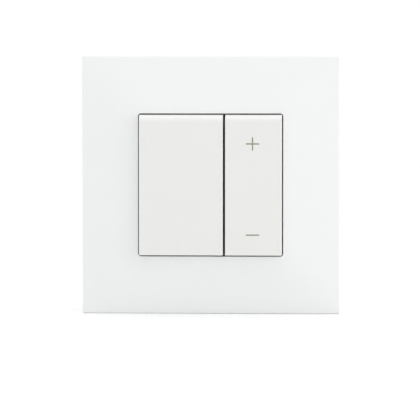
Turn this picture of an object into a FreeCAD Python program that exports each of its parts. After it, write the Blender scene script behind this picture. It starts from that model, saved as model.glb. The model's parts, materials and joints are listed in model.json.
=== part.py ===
"""Flush-mounted two-key dimmer: a wide on/off rocker and a narrow rocker for brighter and darker.

Frame: millimetres, +X right, +Z up, +Y into the wall. The origin is the middle of the wall plane, which is
the back of the mounting yoke, so the room side has negative Y.
"""
import FreeCAD, Part
import math
import os
import Sketcher
from FreeCAD import Placement, Rotation, Vector

doc = FreeCAD.newDocument("two_key_dimmer")
sheet = doc.addObject("Spreadsheet::Sheet", "Sizes")


class Size:
    """A length, or a formula of lengths: its value, and the same formula as an expression on the sheet."""

    def __init__(self, value, text):
        self.value = float(value)
        self.text = text

    def __add__(self, other):
        other = as_size(other)
        return Size(self.value + other.value, f"({self.text} + {other.text})")

    def __sub__(self, other):
        other = as_size(other)
        return Size(self.value - other.value, f"({self.text} - {other.text})")

    def __mul__(self, other):
        other = as_size(other)
        return Size(self.value * other.value, f"({self.text} * {other.text})")

    def __truediv__(self, other):
        other = as_size(other)
        return Size(self.value / other.value, f"({self.text} / {other.text})")

    def __neg__(self):
        return self * -1

    __radd__ = __add__
    __rmul__ = __mul__

    def __rsub__(self, other):
        return as_size(other) - self


def as_size(number):
    return number if isinstance(number, Size) else Size(number, repr(float(number)))


rows = iter(range(1, 1000))


def size(alias, value, note):
    """Adds a driving dimension to the sheet and returns it."""
    row = next(rows)
    sheet.set(f"A{row}", note)
    sheet.set(f"B{row}", str(value))
    sheet.setAlias(f"B{row}", alias)
    sheet.recompute()
    return Size(sheet.get(alias), f"Sizes.{alias}")


def both(half):
    """The span from minus half to plus half."""
    return (-half, half)


def around(centre, width):
    """The span of that width around a centre."""
    return (centre - as_size(width) / 2, centre + as_size(width) / 2)


def spans(side, low, high):
    """A span on the positive side, or its mirror image on the negative side."""
    return (low, high) if side > 0 else (-high, -low)


# ---------------------------------------------------------------- driving dimensions
# Surround frame
frame_size = size("frame_size", 80, "side of the square surround frame")
frame_rim = size("frame_rim", 6.5, "how far the frame's outer edge stands off the wall")
frame_rise = size("frame_rise", 1.9, "rise of the frame's face from its edge to the opening")
frame_wall = size("frame_wall", 2.0, "thickness of the frame's face and skirt")
pillow_power = size("pillow_power", 8, "how square the contours of the frame's face are")
opening_width = size("opening_width", 44.97, "width of the frame's opening")
opening_height = size("opening_height", 44.33, "height of the frame's opening")
opening_corner = size("opening_corner", 0.9, "corner radius of the opening")
collar_wall = size("collar_wall", 1.4, "wall of the collar behind the opening")
collar_back = size("collar_back", 3.6, "how far the collar's back edge stands off the wall")
hook_place = size("hook_place", 17.0, "height of the frame's hooks and of the yoke's tabs")
hook_width = size("hook_width", 2.6, "width of a hook")
rib_place = size("rib_place", 12.0, "place of the stiffening ribs")
rib_thick = size("rib_thick", 1.0, "thickness of a rib")
rib_back = size("rib_back", 3.0, "how far a rib's back edge stands off the wall")

# Keys and their rockers
key_proud = size("key_proud", 2.0, "how far the keys stand out of the frame")
key_gap_side = size("key_gap_side", 0.38, "gap between a key and the opening's side")
key_gap_end = size("key_gap_end", 0.43, "gap between a key and the opening's top or bottom")
key_split = size("key_split", 0.70, "gap between the two keys")
wide_key_width = size("wide_key_width", 25.98, "width of the on/off key")
key_wall = size("key_wall", 1.5, "wall thickness of a key")
key_depth = size("key_depth", 5.45, "depth of a key from its face to its skirt")
key_roll = size("key_roll", 2.2, "radius of the rolled top edge of a key")
key_edge = size("key_edge", 0.45, "radius of a key's other edges")
legend_length = size("legend_length", 4.1, "length of the bars of the plus and the minus")
legend_stroke = size("legend_stroke", 0.4, "width of the bars")
legend_depth = size("legend_depth", 0.15, "depth of the recess for the legends")
plus_height = size("plus_height", 12.8, "height of the plus above the middle")
minus_height = size("minus_height", -15.4, "height of the minus")
legend_shift = size("legend_shift", -0.25, "sideways place of the legends from the key's middle")
leg_place = size("leg_place", 5.0, "height of a key's clip legs")
leg_width = size("leg_width", 3.0, "width of a clip leg")
leg_thick = size("leg_thick", 1.2, "thickness of a clip leg")
leg_barb = size("leg_barb", 1.0, "how far a leg's barb reaches out")
pivot_depth = size("pivot_depth", 5.4, "how far the rocking axis stands off the wall")
rocker_plate = size("rocker_plate", 1.3, "thickness of a rocker's plate")
rocker_length = size("rocker_length", 35.0, "height of a rocker")
rocker_inset = size("rocker_inset", 3.25, "from a key's side to the rocker's end face")
cheek = size("cheek", 1.4, "thickness of a rocker's cheeks and of the bearing lugs")
trunnion_radius = size("trunnion_radius", 1.0, "radius of the trunnions that a rocker turns on")
bearing_play = size("bearing_play", 0.05, "radial play of a trunnion in its lug")
trunnion_length = size("trunnion_length", 1.5, "length of a trunnion")
lug_gap = size("lug_gap", 0.2, "sideways gap between a rocker and its bearing lugs")
press_arm = size("press_arm", 9.0, "from the rocking axis to each plunger")
spring_arm = size("spring_arm", 15.0, "from the rocking axis to each return spring")
narrow_spring_shift = size("narrow_spring_shift", -0.9, "sideways place of the narrow key's springs")
spring_wire = size("spring_wire", 0.25, "radius of a spring's wire")
spring_coil = size("spring_coil", 1.6, "radius of a spring's coil at the middle of its wire")
peg_radius = size("peg_radius", 1.0, "radius of the pegs inside a spring's ends")
presser_tip = size("presser_tip", 0.8, "radius of the tip that presses a plunger")

# Switches under the rockers
switch_side = size("switch_side", 6.0, "side of a switch body")
switch_height = size("switch_height", 3.5, "height of a switch body")
plunger_radius = size("plunger_radius", 1.7, "radius of a switch plunger")
plunger_top = size("plunger_top", 4.45, "how far a plunger's tip stands off the wall at rest")
plunger_foot = size("plunger_foot", 1.2, "how deep behind the wall plane a plunger ends")
touch_gap = size("touch_gap", 0.05, "gap between a presser or screw tip and what it meets")

# Mechanism
cover_front = size("cover_front", 3.4, "how far the cover's front stands off the wall")
cover_width = size("cover_width", 43.8, "width of the mechanism's front cover")
cover_height = size("cover_height", 43.4, "height of the front cover")
yoke_size = size("yoke_size", 71.0, "side of the mounting yoke")
yoke_sheet = size("yoke_sheet", 1.0, "thickness of the yoke's steel sheet")
yoke_corner = size("yoke_corner", 12.0, "chamfer of the yoke's corners")
window_half_x = size("window_half_x", 17.5, "half width of the yoke's window")
window_half_z = size("window_half_z", 18.5, "half height of the yoke's window")
window_diagonal = size("window_diagonal", 29.4, "x plus z on the window's cut corners")
screw_pitch = size("screw_pitch", 60.0, "distance between opposite wall box screws")
slot_radius = size("slot_radius", 1.9, "half width of the slots for the wall box screws")
slot_length = size("slot_length", 6.6, "length of those slots, end to end")
body_screw = size("body_screw", 16.6, "x and z of the four screws that close the mechanism")
body_screw_radius = size("body_screw_radius", 1.1, "radius of those screws' pilot holes")
body_screw_head = size("body_screw_head", 2.0, "radius of their heads")
housing_half_x = size("housing_half_x", 19.0, "half width of the rear housing")
housing_half_z = size("housing_half_z", 21.0, "half height of the rear housing")
housing_depth = size("housing_depth", 25.0, "depth of the rear housing behind the wall plane")
housing_wall = size("housing_wall", 1.6, "wall thickness of the rear housing")
housing_cut = size("housing_cut", 3.0, "chamfer of the housing's corners")
board_half_x = size("board_half_x", 17.2, "half width of both circuit boards")
board_half_z = size("board_half_z", 19.2, "half height of both circuit boards")
board_diagonal = size("board_diagonal", 28.9, "x plus z on the boards' cut corners")
control_board_front = size("control_board_front", 2.7, "front face of the control board")
control_board_thick = size("control_board_thick", 1.0, "thickness of the control board")
power_board_front = size("power_board_front", 8.0, "front face of the power board")
power_board_thick = size("power_board_thick", 1.6, "thickness of the power board")
spacer_x = size("spacer_x", 14.2, "sideways place of the board spacers")
spacer_z = size("spacer_z", 12.0, "height of the board spacers")
spacer_radius = size("spacer_radius", 1.5, "radius of a spacer")
spacer_bore = size("spacer_bore", 0.8, "radius of a spacer's bore")
part_clearance = size("part_clearance", 0.05, "gap between a board and what stands on it")

# Terminals
terminal_pitch = size("terminal_pitch", 9.0, "distance between terminals")
terminal_height = size("terminal_height", -15.6, "height of the terminal screws")
wire_radius = size("wire_radius", 1.7, "radius of a wire entry")
wire_depth = size("wire_depth", 13.2, "how deep behind the wall plane a wire entry lies")
tab_front = size("tab_front", 14.6, "front face of a terminal's contact plate")
tab_thick = size("tab_thick", 0.8, "thickness of a contact plate")
cage_front = size("cage_front", 10.9, "front of an open clamp cage")
cage_depth = size("cage_depth", 8.2, "depth of a clamp cage")
cage_wall = size("cage_wall", 0.9, "thickness of a cage's thin walls")
cage_thread = size("cage_thread", 1.5, "thickness of a cage's threaded wall")
terminal_screw_radius = size("terminal_screw_radius", 1.45, "radius of a terminal screw's thread")
terminal_head_radius = size("terminal_head_radius", 2.5, "radius of a terminal screw's head")

# Claws
claw_pivot_x = size("claw_pivot_x", 20.6, "sideways place of a claw's hinge")
claw_pivot_y = size("claw_pivot_y", 5.0, "depth of a claw's hinge behind the wall plane")
claw_height = size("claw_height", -8.0, "height of the claws")
claw_width = size("claw_width", 8.0, "width of a claw")
claw_sheet = size("claw_sheet", 1.2, "thickness of a claw")
claw_length = size("claw_length", 17.0, "from a claw's hinge to its teeth")
claw_lever = size("claw_lever", 4.0, "from a claw's hinge to its screw")
claw_pin_radius = size("claw_pin_radius", 0.8, "radius of a claw's hinge pin")
claw_screw_radius = size("claw_screw_radius", 1.25, "radius of a claw screw's thread")
bead_radius = size("bead_radius", 0.9, "radius of the bead on a claw's lug that the nut bears on")
claw_nut_thick = size("claw_nut_thick", 1.6, "thickness of a claw nut")

doc.recompute()

# Places that follow from them
crown = frame_rim + frame_rise
key_face = -(crown + key_proud)
key_back = key_face + key_depth
key_inside = key_face + key_wall
half_opening = opening_width / 2
wide_left = key_gap_side - half_opening
wide_right = wide_left + wide_key_width
narrow_left = wide_right + key_split
narrow_right = half_opening - key_gap_side
key_half_height = opening_height / 2 - key_gap_end
pivot_y = -pivot_depth
rocker_front = key_inside + touch_gap
rocker_back = rocker_front + rocker_plate
switch_front = control_board_front - switch_height
power_board_back = power_board_front + power_board_thick
housing_floor = housing_depth - housing_wall
screw_sink = 1.5 - cover_front
tab_back = tab_front + tab_thick
terminal_places = (-terminal_pitch, as_size(0), terminal_pitch)
key_places = {
    "wide": (wide_left, wide_right, as_size(0)),
    "narrow": (narrow_left, narrow_right, narrow_spring_shift),
}
LOW_HIGH = {-1: "low", 1: "high"}
LOWER_UPPER = {-1: "lower", 1: "upper"}
LEFT_RIGHT = {-1: "left", 1: "right"}
CORNERS = ((-1, -1), (-1, 1), (1, -1), (1, 1))
OVERLAP = 0.2
BEYOND = 1.0


# ---------------------------------------------------------------- building with solids
def bind(obj, path, length):
    obj.setExpression(path, as_size(length).text)


def block(name, x, y, z):
    """A box from its spans along X, Y and Z."""
    box = doc.addObject("Part::Box", name)
    for side, axis, (low, high) in zip(("Length", "Width", "Height"), "xyz", (x, y, z)):
        bind(box, side, as_size(high) - low)
        bind(box, f"Placement.Base.{axis}", low)
    return box


TURNS = {"X": Rotation(Vector(0, 1, 0), 90), "Y": Rotation(Vector(1, 0, 0), -90), "Z": Rotation()}


def place(solid, axis, centre, low):
    """Stands a round solid along an axis: centre holds the other two coordinates in X, Y, Z order."""
    solid.Placement = Placement(Vector(), TURNS[axis])
    others = [a for a in "XYZ" if a != axis]
    for name, where in zip([*others, axis], [*centre, low]):
        bind(solid, f"Placement.Base.{name.lower()}", where)


def rod(name, axis, centre, radius, span):
    """A cylinder along an axis, over that span."""
    cylinder = doc.addObject("Part::Cylinder", name)
    bind(cylinder, "Radius", radius)
    bind(cylinder, "Height", as_size(span[1]) - span[0])
    place(cylinder, axis, centre, span[0])
    return cylinder


def cone(name, axis, centre, radius_low, radius_high, span):
    """A cone along an axis, over that span."""
    solid = doc.addObject("Part::Cone", name)
    bind(solid, "Radius1", radius_low)
    bind(solid, "Radius2", radius_high)
    bind(solid, "Height", as_size(span[1]) - span[0])
    place(solid, axis, centre, span[0])
    return solid


def fuse(name, *solids):
    if len(solids) == 1:
        return solids[0]
    joined = doc.addObject("Part::MultiFuse", name)
    joined.Shapes = list(solids)
    joined.Refine = True
    return joined


def cut(name, base, *tools):
    rest = doc.addObject("Part::Cut", name)
    rest.Base = base
    rest.Tool = fuse(f"{name}_tools", *tools)
    return rest


def common(name, one, other):
    shared = doc.addObject("Part::Common", name)
    shared.Base = one
    shared.Tool = other
    return shared


def group(name, *solids):
    """Separate solids that make one sub-part, such as a set of equal screws."""
    together = doc.addObject("Part::Compound", name)
    together.Links = list(solids)
    return together


parts = {}


def sub_part(label, solid):
    """Names a finished sub-part."""
    solid.Label = label
    parts[label] = solid


# ---------------------------------------------------------------- building with bodies
def plane(body, role):
    return next(f for f in body.Origin.OriginFeatures if f.Role == role)


def sketch(body, name, role, offset):
    """A sketch on one of the body's planes, moved along the plane's normal."""
    drawing = body.newObject("Sketcher::SketchObject", name)
    drawing.AttachmentSupport = [(plane(body, role), "")]
    drawing.MapMode = "FlatFace"
    bind(drawing, "AttachmentOffset.Base.z", offset)
    return drawing


def fix_point(drawing, geometry, point, x, y):
    """Ties a point of the sketch to its coordinates."""
    for kind, axis, where in (("DistanceX", -2, x), ("DistanceY", -1, y)):
        where = as_size(where)
        if where.value == 0:
            drawing.addConstraint(Sketcher.Constraint("PointOnObject", geometry, point, axis))
            continue
        number = drawing.addConstraint(
            Sketcher.Constraint(kind, -1, 1, geometry, point, where.value)
        )
        bind(drawing, f"Constraints[{number}]", where)


def outline(drawing, corners):
    """A closed outline of straight lines through the corners."""
    ends = [Vector(as_size(x).value, as_size(y).value, 0) for x, y in corners]
    first = drawing.GeometryCount
    count = len(ends)
    for i in range(count):
        drawing.addGeometry(Part.LineSegment(ends[i], ends[(i + 1) % count]), False)
    for i in range(count):
        following = first + (i + 1) % count
        drawing.addConstraint(Sketcher.Constraint("Coincident", first + i, 2, following, 1))
    for i, (x, y) in enumerate(corners):
        fix_point(drawing, first + i, 1, x, y)


def rectangle(drawing, x, y):
    outline(drawing, [(x[0], y[0]), (x[1], y[0]), (x[1], y[1]), (x[0], y[1])])


def circle(drawing, x, y, radius):
    centre = Vector(as_size(x).value, as_size(y).value, 0)
    ring = Part.Circle(centre, Vector(0, 0, 1), as_size(radius).value)
    number = drawing.addGeometry(ring, False)
    limit = drawing.addConstraint(Sketcher.Constraint("Radius", number, as_size(radius).value))
    bind(drawing, f"Constraints[{limit}]", radius)
    fix_point(drawing, number, 3, x, y)


def feature(body, kind, drawing, length, backwards=False):
    """A Pad or a Pocket of a sketch. On the XZ plane a Pad grows to the room, a Pocket cuts to the wall."""
    step = body.newObject(f"PartDesign::{kind}", f"{drawing.Name}_{kind.lower()}")
    step.Profile = drawing
    bind(step, "Length", length)
    step.Reversed = backwards
    body.Tip = step
    return step


def layer(body, name, x, z, back, front):
    """A rectangular Pad between two depths."""
    drawing = sketch(body, name, "XZ_Plane", -back)
    rectangle(drawing, x, z)
    return feature(body, "Pad", drawing, back - front)


def recess(body, name, x, z, front, back):
    """A rectangular Pocket between two depths."""
    drawing = sketch(body, name, "XZ_Plane", -front)
    rectangle(drawing, x, z)
    return feature(body, "Pocket", drawing, back - front)


def round_edges(body, name, chosen, radius):
    """A fillet on the edges of the body's tip that the rule chooses."""
    doc.recompute()
    base = body.Tip
    edges = [f"Edge{i + 1}" for i, edge in enumerate(base.Shape.Edges) if chosen(edge)]
    step = body.newObject("PartDesign::Fillet", name)
    step.Base = (base, edges)
    bind(step, "Radius", radius)
    body.Tip = step
    return step


def near(a, b):
    return abs(a - as_size(b).value) < 1e-4


# ---------------------------------------------------------------- surround frame
def pillow_depth(x, z):
    """How far the frame's face stands off the wall: square contours that round off along the diagonals.

    The climb is 0 at the edge and 1 at the opening. Inside the opening it levels out.
    """
    half = frame_size.value / 2
    power = pillow_power.value
    reach = ((abs(x) / half) ** power + (abs(z) / half) ** power) ** (1 / power)
    climb = (1 - reach) / (1 - half_opening.value / half)
    levelling = 4
    if climb > 1:
        climb = 1 + (1 - math.exp(levelling * (1 - climb))) / levelling
    return frame_rim.value + frame_rise.value * climb


def pillow_region(name, lowered):
    """Everything behind the frame's curved face, lowered towards the wall by a thickness."""
    steps = 32
    reach = frame_size.value / 2
    places = [reach * (2 * i / steps - 1) for i in range(steps + 1)]
    grid = [[Vector(x, lowered - pillow_depth(x, z), z) for z in places] for x in places]
    face = Part.BSplineSurface()
    face.interpolate(grid)
    region = doc.addObject("Part::Feature", name)
    region.Shape = face.toShape().extrude(Vector(0, crown.value * 2, 0))
    return region


def frame_hooks():
    """Four barbed hooks inside the skirt, which snap into the yoke's upturned tabs."""
    hooks = []
    beam_inner = yoke_size / 2 + 0.2
    beam_outer = beam_inner + 1.2
    nose_inner = beam_inner - 1.0
    beam_depth, nose_depth = (-5.4, -1.6), (-3.1, -2.5)
    for side, end in CORNERS:
        name = f"frame_hook_{LOW_HIGH[side]}_{LOW_HIGH[end]}"
        z = around(hook_place * end, hook_width)
        hooks.append(block(name, spans(side, beam_inner, beam_outer), beam_depth, z))
        hooks.append(block(f"{name}_nose", spans(side, nose_inner, beam_inner), nose_depth, z))
    return hooks


def frame_ribs(region):
    """Stiffening ribs between the collar and the skirt."""
    ribs = []
    inner, outer = half_opening + 0.9, frame_size / 2 - 1.0
    depth = (-crown - BEYOND, -rib_back)
    for side, end in CORNERS:
        across = around(rib_place * side, rib_thick)
        along = spans(end, inner, outer)
        name = f"rib_{LOW_HIGH[side]}_{LOW_HIGH[end]}"
        for turn, (x, z) in {"upright": (across, along), "level": (along, across)}.items():
            bar = block(f"{name}_{turn}_bar", x, depth, z)
            ribs.append(common(f"{name}_{turn}", region, bar))
    return ribs


def opening_prism():
    """The opening with its rounded corners, as a solid to cut with."""
    body = doc.addObject("PartDesign::Body", "opening_prism")
    layer(body, "opening_outline", both(half_opening), both(opening_height / 2), BEYOND, -crown - 2)

    def runs_into_the_wall(edge):
        return near(abs(edge.tangentAt(edge.FirstParameter).y), 1)

    round_edges(body, "opening_corners", runs_into_the_wall, opening_corner)
    return body


def make_surround_frame():
    front = pillow_region("face_region", 0)
    behind = pillow_region("cavity_region", frame_wall.value)
    half = frame_size / 2
    front_limit = -crown - BEYOND
    wide_span = both(half + BEYOND)
    slab = common("frame_slab", front, block("frame_block", wide_span, (front_limit, 0), wide_span))
    hollow_half = half - frame_wall
    hollow_block = block("hollow_block", both(hollow_half), (front_limit, BEYOND), both(hollow_half))
    shell = cut("frame_shell", slab, common("frame_hollow", behind, hollow_block))
    collar_x = both(half_opening + collar_wall)
    collar_z = both(opening_height / 2 + collar_wall)
    collar_block = block("collar_block", collar_x, (front_limit, -collar_back), collar_z)
    collar = common("frame_collar", front, collar_block)
    whole = fuse("frame_whole", shell, collar, *frame_ribs(front), *frame_hooks())
    sub_part("surround_frame", cut("surround_frame", whole, opening_prism()))


# ---------------------------------------------------------------- keys
def add_clip_legs(body, middle):
    """Two barbed legs inside a key, which snap through the windows of its rocker."""
    leg_x = around(middle, leg_width)
    leg_end, barb_back, barb_front = rocker_back + 1.1, rocker_back + 0.9, rocker_back + 0.15
    half = leg_thick / 2
    for sign, end in LOWER_UPPER.items():
        shin = around(leg_place * sign, leg_thick)
        layer(body, f"leg_{end}", leg_x, shin, leg_end, key_inside - OVERLAP)
        foot = spans(sign, leg_place - half, leg_place + half + leg_barb)
        layer(body, f"leg_foot_{end}", leg_x, foot, barb_back, barb_front)


def make_key(label, left, right):
    """A hollow key: a flat face that rolls over at the top, skirts all round and two clip legs."""
    body = doc.addObject("PartDesign::Body", label)
    layer(body, f"{label}_outline", (left, right), both(key_half_height), key_back, key_face)

    def crossing_face_edge(height):
        def chosen(edge):
            middle = edge.CenterOfMass
            along = abs(edge.tangentAt(edge.FirstParameter).x) > 0.99
            return along and near(middle.y, key_face) and near(middle.z, height)

        return chosen

    def on_a_side(edge):
        box = edge.BoundBox
        flat = box.XLength < 1e-4 and (near(box.XMin, left) or near(box.XMin, right))
        return flat and box.YMin < key_back.value - 1e-4

    round_edges(body, f"{label}_roll", crossing_face_edge(key_half_height), key_roll)
    round_edges(body, f"{label}_foot", crossing_face_edge(-key_half_height), key_edge)
    round_edges(body, f"{label}_sides", on_a_side, key_edge)
    hollow = sketch(body, f"{label}_hollow", "XZ_Plane", -key_back)
    inner = key_half_height - key_wall
    rectangle(hollow, (left + key_wall, right - key_wall), both(inner))
    feature(body, "Pocket", hollow, key_depth - key_wall, backwards=True)
    add_clip_legs(body, (left + right) / 2)
    return body


def add_legends(body, middle):
    """The recessed plus and minus of the narrow key."""
    x = middle + legend_shift
    long_bar, short_bar = around(x, legend_length), around(x, legend_stroke)
    floor = key_face + legend_depth
    recess(body, "plus_level", long_bar, around(plus_height, legend_stroke), key_face, floor)
    recess(body, "plus_upright", short_bar, around(plus_height, legend_length), key_face, floor)
    recess(body, "minus_level", long_bar, around(minus_height, legend_stroke), key_face, floor)


def make_keys():
    sub_part("wide_key", make_key("wide_key", wide_left, wide_right))
    narrow = make_key("narrow_key", narrow_left, narrow_right)
    add_legends(narrow, (narrow_left + narrow_right) / 2)
    sub_part("narrow_key", narrow)


# ---------------------------------------------------------------- rockers and their springs
def make_rocker(name, left, right, spring_shift):
    """The carrier under a key: a plate with cheeks, trunnions, two pressers and windows for the legs."""
    low, high = left + rocker_inset, right - rocker_inset
    middle = (left + right) / 2
    root = rocker_back - OVERLAP
    plate_depth = (rocker_front, rocker_back)
    solids = [block(f"{name}_plate", (low, high), plate_depth, both(rocker_length / 2))]
    cheek_depth, cheek_z = (root, pivot_y + 1.2), both(2.0)
    ends = {"left": ((low, low + cheek), (low - trunnion_length, low + OVERLAP)),
            "right": ((high - cheek, high), (high - OVERLAP, high + trunnion_length))}
    for end, (cheek_x, trunnion_x) in ends.items():
        solids.append(block(f"{name}_cheek_{end}", cheek_x, cheek_depth, cheek_z))
        centre = (pivot_y, 0)
        solids.append(rod(f"{name}_trunnion_{end}", "X", centre, trunnion_radius, trunnion_x))
    tip_y = -plunger_top - touch_gap - presser_tip
    across, pip = around(middle, 3.0), (root, rocker_back + 0.7)
    for sign, end in LOWER_UPPER.items():
        z = press_arm * sign
        stem = around(z, presser_tip * 2)
        solids.append(block(f"{name}_presser_{end}", across, (root, tip_y), stem))
        solids.append(rod(f"{name}_presser_tip_{end}", "X", (tip_y, z), presser_tip, across))
        centre = (middle + spring_shift, spring_arm * sign)
        solids.append(rod(f"{name}_spring_pip_{end}", "Y", centre, peg_radius, pip))
    whole = fuse(f"{name}_rocker_whole", *solids)
    window_x, window_depth = around(middle, leg_width + 0.4), (rocker_front - 1, rocker_back + 1)
    windows = [
        block(f"{name}_window_{end}", window_x, window_depth, spans(sign, 4.2, 6.2))
        for sign, end in LOWER_UPPER.items()
    ]
    sub_part(f"{name}_rocker", cut(f"{name}_rocker", whole, *windows))


def make_spring(label, x, z, low, high):
    """A coil spring along Y between two depths, with closed ends whose turns nearly touch."""
    wire, coil = spring_wire.value, spring_coil.value
    end_turns, working_turns = 0.75, 3.0
    end_pitch = 2.2 * wire
    working_rise = high - low - 2 * wire - 2 * end_pitch * end_turns
    stretches = [
        (end_turns, end_pitch),
        (working_turns, working_rise / working_turns),
        (end_turns, end_pitch),
    ]
    edges = []
    start, angle = low + wire, 0.0
    for turns, pitch in stretches:
        helix = Part.makeHelix(pitch, pitch * turns, coil)
        helix.rotate(Vector(), Vector(0, 0, 1), angle)
        helix.translate(Vector(0, 0, start))
        edges += helix.Edges
        start += pitch * turns
        angle += 360 * turns
    path = Part.Wire(edges)
    foot = edges[0].valueAt(edges[0].FirstParameter)
    ring = Part.Wire(Part.makeCircle(wire, foot, edges[0].tangentAt(edges[0].FirstParameter)))
    spring = doc.addObject("Part::Feature", label)
    spring.Shape = path.makePipeShell([ring], True, True)
    spring.Placement = Placement(Vector(x, 0, z), TURNS["Y"])
    sub_part(label, spring)


def make_rockers_and_springs():
    play = 0.02
    seat, rocker = -cover_front.value - play, rocker_back.value + play
    for name, (left, right, spring_shift) in key_places.items():
        make_rocker(name, left, right, spring_shift)
        x = ((left + right) / 2 + spring_shift).value
        for sign, end in LOWER_UPPER.items():
            make_spring(f"{name}_spring_{end}", x, sign * spring_arm.value, rocker, seat)


# ---------------------------------------------------------------- switches
def make_switches():
    """Four press switches on the control board: a body with a bore, and the plunger that slides in it."""
    labels = {("wide", 1): "on_switch", ("wide", -1): "off_switch",
              ("narrow", 1): "plus_switch", ("narrow", -1): "minus_switch"}
    depth = (switch_front, control_board_front)
    bore_depth = (switch_front - BEYOND, plunger_foot + 0.8)
    chamfer = 0.3
    shoulder = chamfer - plunger_top
    for (key, sign), label in labels.items():
        left, right, _ = key_places[key]
        x, z = (left + right) / 2, press_arm * sign
        shell = block(f"{label}_case", around(x, switch_side), depth, around(z, switch_side))
        bore = rod(f"{label}_bore", "Y", (x, z), plunger_radius + bearing_play, bore_depth)
        sub_part(f"{label}_body", cut(f"{label}_body", shell, bore))
        stem = rod(f"{label}_stem", "Y", (x, z), plunger_radius, (shoulder, plunger_foot))
        tip_radius, tip_span = plunger_radius - chamfer, (-plunger_top, shoulder)
        tip = cone(f"{label}_tip", "Y", (x, z), tip_radius, plunger_radius, tip_span)
        sub_part(f"{label}_plunger", fuse(f"{label}_plunger", stem, tip))


# ---------------------------------------------------------------- front cover
def bearing_lugs(name, left, right):
    """The two lugs that hold a rocker's trunnions, each open to the front so that the rocker snaps in."""
    low, high = left + rocker_inset - lug_gap, right - rocker_inset + lug_gap
    lugs, holes = [], []
    lug_depth, lug_z = (pivot_y - 1.5, OVERLAP - cover_front), both(2.5)
    mouth, mouth_z = (pivot_y - 2, pivot_y), both(trunnion_radius - 0.15)
    bore = trunnion_radius + bearing_play
    for end, x in {"left": (low - cheek, low), "right": (high, high + cheek)}.items():
        lugs.append(block(f"{name}_lug_{end}", x, lug_depth, lug_z))
        wider = (x[0] - 0.1, x[1] + 0.1)
        holes.append(rod(f"{name}_lug_hole_{end}", "X", (pivot_y, 0), bore, wider))
        holes.append(block(f"{name}_lug_mouth_{end}", wider, mouth, mouth_z))
    return lugs, holes


def make_front_cover():
    depth = (-cover_front, -yoke_sheet)
    solids = [block("cover_plate", both(cover_width / 2), depth, both(cover_height / 2))]
    holes = []
    through, sink = (-cover_front - BEYOND, 0), (-cover_front - BEYOND, screw_sink)
    peg = (-cover_front - 1.0, OVERLAP - cover_front)
    hole_radius = plunger_radius + 0.3
    for name, (left, right, spring_shift) in key_places.items():
        lugs, lug_holes = bearing_lugs(name, left, right)
        solids += lugs
        holes += lug_holes
        middle = (left + right) / 2
        for sign, end in LOWER_UPPER.items():
            centre = (middle + spring_shift, spring_arm * sign)
            solids.append(rod(f"{name}_spring_peg_{end}", "Y", centre, peg_radius, peg))
            centre = (middle, press_arm * sign)
            holes.append(rod(f"{name}_plunger_hole_{end}", "Y", centre, hole_radius, through))
    for i, (sx, sz) in enumerate(CORNERS):
        centre = (body_screw * sx, body_screw * sz)
        holes.append(rod(f"cover_screw_hole_{i}", "Y", centre, body_screw_radius + 0.2, through))
        holes.append(rod(f"cover_screw_sink_{i}", "Y", centre, body_screw_head + 0.2, sink))
    whole = fuse("cover_whole", *solids)
    sub_part("front_cover", cut("front_cover", whole, *holes))


# ---------------------------------------------------------------- yoke
def octagon(drawing, half_x, half_z, diagonal):
    """A rectangle whose corners are cut where x plus z reaches the diagonal."""
    x, z = diagonal - half_z, diagonal - half_x
    outline(drawing, [(-x, -half_z), (x, -half_z), (half_x, -z), (half_x, z),
                      (x, half_z), (-x, half_z), (-half_x, z), (-half_x, -z)])


def make_yoke():
    """A steel sheet with a window, slots for the wall box screws, upturned tabs and ears for the claws."""
    body = doc.addObject("PartDesign::Body", "mounting_yoke")
    half = yoke_size / 2
    blank = sketch(body, "yoke_blank", "XZ_Plane", 0)
    octagon(blank, half, half, yoke_size - yoke_corner)
    feature(body, "Pad", blank, yoke_sheet)
    front = -yoke_sheet
    window = sketch(body, "yoke_window", "XZ_Plane", yoke_sheet)
    octagon(window, window_half_x, window_half_z, window_diagonal)
    feature(body, "Pocket", window, yoke_sheet)
    holes = sketch(body, "yoke_holes", "XZ_Plane", yoke_sheet)
    for sx in (-1, 1):
        circle(holes, (claw_pivot_x + claw_lever) * sx, claw_height, claw_screw_radius + 0.2)
        for sz in (-1, 1):
            circle(holes, body_screw * sx, body_screw * sz, body_screw_radius + 0.3)
    feature(body, "Pocket", holes, yoke_sheet)
    reach = slot_length / 2 - slot_radius
    for sign, end in LOW_HIGH.items():
        centre = screw_pitch / 2 * sign
        for turn in ("level", "upright"):
            name = f"slot_{turn}_{end}"
            level = turn == "level"
            along, across = around(centre, reach * 2), both(slot_radius)
            recess(body, name, along if level else across, across if level else along, front, 0)
            ends = sketch(body, f"{name}_ends", "XZ_Plane", yoke_sheet)
            for tip in (centre - reach, centre + reach):
                x, z = (tip, 0) if level else (0, tip)
                circle(ends, x, z, slot_radius)
            feature(body, "Pocket", ends, yoke_sheet)
    return body


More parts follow.
